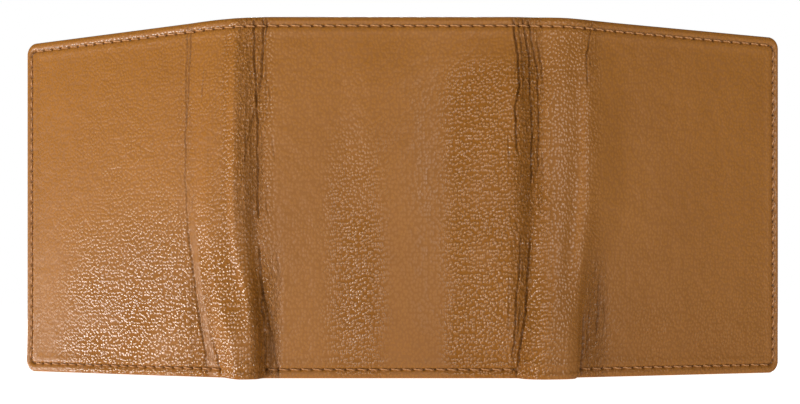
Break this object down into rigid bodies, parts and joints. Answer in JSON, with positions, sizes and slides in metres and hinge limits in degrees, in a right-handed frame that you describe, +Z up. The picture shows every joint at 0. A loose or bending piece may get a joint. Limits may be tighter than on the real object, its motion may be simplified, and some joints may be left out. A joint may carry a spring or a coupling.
{
  "type": "trifold wallet",
  "caption": "Three-panel leather wallet standing open, with two soft rolled folds, a full-width bill compartment, card pockets on both wings and a clear card window.",
  "frame": {"origin": "middle of the centre panel's bottom edge, half way through its cover leather", "axes": "+Z up, towards the open mouth of the bill compartment; +X across the wallet, to the right seen from outside; +Y inward, towards the card pockets, so the outer leather faces -Y"},
  "size_m": [0.2453, 0.0358, 0.108],
  "materials": {
    "outer_leather": "tan pebbled full-grain leather with a soft wax sheen",
    "inner_leather": "smoother tan leather, satin",
    "lining": "brown plain-weave lining cloth, matt",
    "board": "pressed fibre stiffening board, matt",
    "thread": "tan twisted thread, matt",
    "clear_vinyl": "clear flexible vinyl sheet, gloss"
  },
  "bodies": {
    "centre": {"cover_centre": "outer_leather", "stiffener_centre": "board", "lining_centre": "lining", "top_hem_centre": "outer_leather", "bottom_hem_centre": "outer_leather", "inner_back_centre": "inner_leather", "slip_pocket_centre": "inner_leather", "id_window_sheet": "clear_vinyl", "id_window_frame": "inner_leather", "bottom_seam_centre": "thread", "top_seam_centre": "thread"},
    "left_spine": {"cover_fold_left": "outer_leather", "lining_fold_left": "lining", "top_hem_fold_left": "outer_leather", "bottom_hem_fold_left": "outer_leather", "inner_gusset_left": "inner_leather", "top_seam_fold_left": "thread"},
    "left_wing": {"cover_left": "outer_leather", "stiffener_left": "board", "lining_left": "lining", "top_hem_left": "outer_leather", "bottom_hem_left": "outer_leather", "side_hem_left": "outer_leather", "inner_back_left": "inner_leather", "card_pocket_left_rear": "inner_leather", "card_pocket_left_middle": "inner_leather", "card_pocket_left_front": "inner_leather", "edge_seam_left": "thread", "pocket_seam_left": "thread"},
    "right_spine": {"cover_fold_right": "outer_leather", "lining_fold_right": "lining", "top_hem_fold_right": "outer_leather", "bottom_hem_fold_right": "outer_leather", "inner_gusset_right": "inner_leather", "top_seam_fold_right": "thread"},
    "right_wing": {"cover_right": "outer_leather", "stiffener_right": "board", "lining_right": "lining", "top_hem_right": "outer_leather", "bottom_hem_right": "outer_leather", "side_hem_right": "outer_leather", "inner_back_right": "inner_leather", "card_pocket_right_rear": "inner_leather", "card_pocket_right_middle": "inner_leather", "card_pocket_right_front": "inner_leather", "edge_seam_right": "thread", "pocket_seam_right": "thread"}
  },
  "joints": [
    {"name": "left_spine_fold", "type": "hinge", "parent": "centre", "child": "left_spine", "pos_m": [-0.0385, 0.00195, 0], "axis": [0, 0, -1], "range_deg": [-10, 80]},
    {"name": "left_wing_fold", "type": "hinge", "parent": "left_spine", "child": "left_wing", "pos_m": [-0.05051, 0.00407, 0], "axis": [0, 0, -1], "range_deg": [-10, 80]},
    {"name": "right_spine_fold", "type": "hinge", "parent": "centre", "child": "right_spine", "pos_m": [0.0385, 0.00195, 0], "axis": [0, 0, 1], "range_deg": [-7.5, 82.5]},
    {"name": "right_wing_fold", "type": "hinge", "parent": "right_spine", "child": "right_wing", "pos_m": [0.05615, 0.00427, 0], "axis": [0, 0, 1], "range_deg": [-7.5, 82.5]}
  ],
  "couplings": [
    {"joint": "left_wing_fold", "follows": "left_spine_fold", "ratio": 1},
    {"joint": "right_wing_fold", "follows": "right_spine_fold", "ratio": 1}
  ]
}
